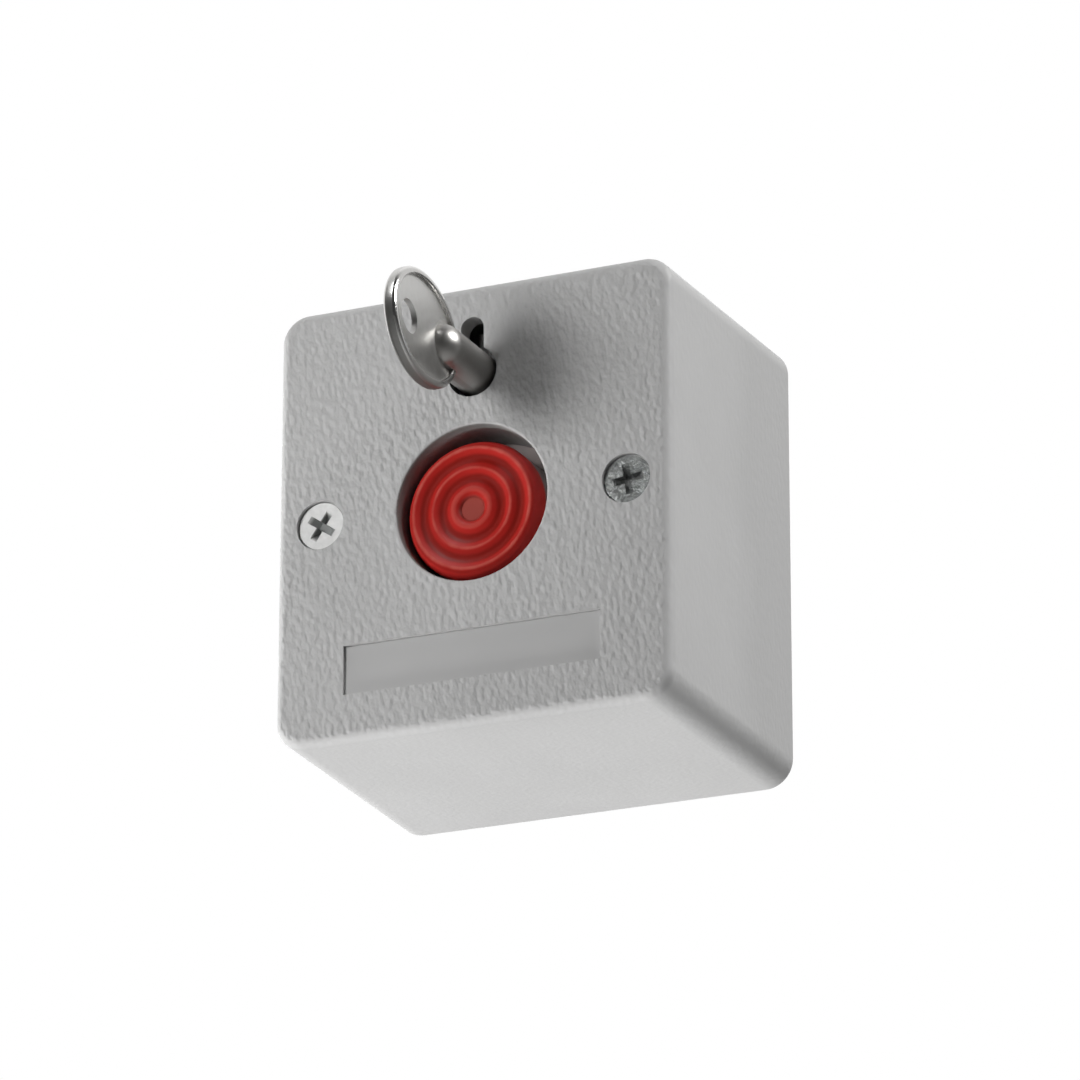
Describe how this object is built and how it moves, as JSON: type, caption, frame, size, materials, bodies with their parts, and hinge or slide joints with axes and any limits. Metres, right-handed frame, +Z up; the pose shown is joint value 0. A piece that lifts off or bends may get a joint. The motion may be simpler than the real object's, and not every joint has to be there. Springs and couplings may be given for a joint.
{
  "type": "keyed emergency button",
  "caption": "Wall box with a latching red push button that a removable key resets, with a lever switch and screw terminals inside.",
  "frame": {"origin": "on the button's axis, on the base plate's back face, which lies on the wall", "axes": "+Y into the wall, +Z up, +X to the right seen from the front"},
  "size_m": [0.0522, 0.059, 0.0562],
  "materials": {
    "grained_grey_plastic": "fine leather grain",
    "base_plastic": "plain moulded",
    "red_plastic": "satin gloss",
    "white_plastic": "natural nylon",
    "black_plastic": "moulded",
    "plated_key": "polished nickel plate",
    "bright_screw": "zinc plated",
    "dull_screw": "zinc plated, dull",
    "brass": "turned",
    "spring_steel": "rolled",
    "die_cast_zinc": "as cast zinc",
    "board_green": "solder mask",
    "tinned_pins": "tinned",
    "terminal_plastic": "moulded"
  },
  "bodies": {
    "case": {"front_cover": "grained_grey_plastic", "base_plate": "base_plastic", "cover_screw_left": "bright_screw", "cover_screw_right": "dull_screw", "insert_left": "brass", "insert_right": "brass", "return_spring": "spring_steel", "mechanism_frame": "black_plastic", "frame_screws": "bright_screw", "latch_leaf": "spring_steel", "leaf_screw": "bright_screw", "circuit_board": "board_green", "board_screws": "bright_screw", "switch_case": "black_plastic", "switch_pins": "tinned_pins", "terminal_block": "terminal_plastic", "terminal_screws": "bright_screw", "wire_clamp_1": "brass", "wire_clamp_2": "brass", "wire_clamp_3": "brass"},
    "button": {"push_button": "red_plastic", "button_stem": "white_plastic"},
    "rotor": {"reset_rotor": "die_cast_zinc", "rotor_clip": "spring_steel"},
    "key_piece": {"key": "plated_key"},
    "lever": {"switch_lever": "spring_steel"},
    "actuator": {"switch_plunger": "white_plastic"}
  },
  "joints": [
    {"name": "button_press", "type": "slide", "parent": "case", "child": "button", "axis": [0, 1, 0], "range_m": [0, 0.0032], "stiffness_N_per_m": 600, "springref_m": -0.003, "deforming": ["return_spring", "latch_leaf"]},
    {"name": "reset_turn", "type": "hinge", "parent": "case", "child": "rotor", "pos_m": [0, -0.01999, 0.0165], "axis": [0, 1, 0], "range_deg": [0, 90]},
    {"name": "key_withdraw", "type": "slide", "parent": "rotor", "child": "key_piece", "axis": [0, -1, 0], "range_m": [0, 0.013]},
    {"name": "lever_swing", "type": "hinge", "parent": "case", "child": "lever", "pos_m": [0, -0.0135, -0.0175], "axis": [-1, 0, 0], "range_deg": [0, 10.01]},
    {"name": "switch_travel", "type": "slide", "parent": "case", "child": "actuator", "axis": [0, 1, 0], "range_m": [0, 0.000625]}
  ],
  "couplings": [
    {"joint": "lever_swing", "follows": "button_press", "rad_per_m": 54.054},
    {"joint": "switch_travel", "follows": "button_press", "ratio": 0.18919}
  ]
}
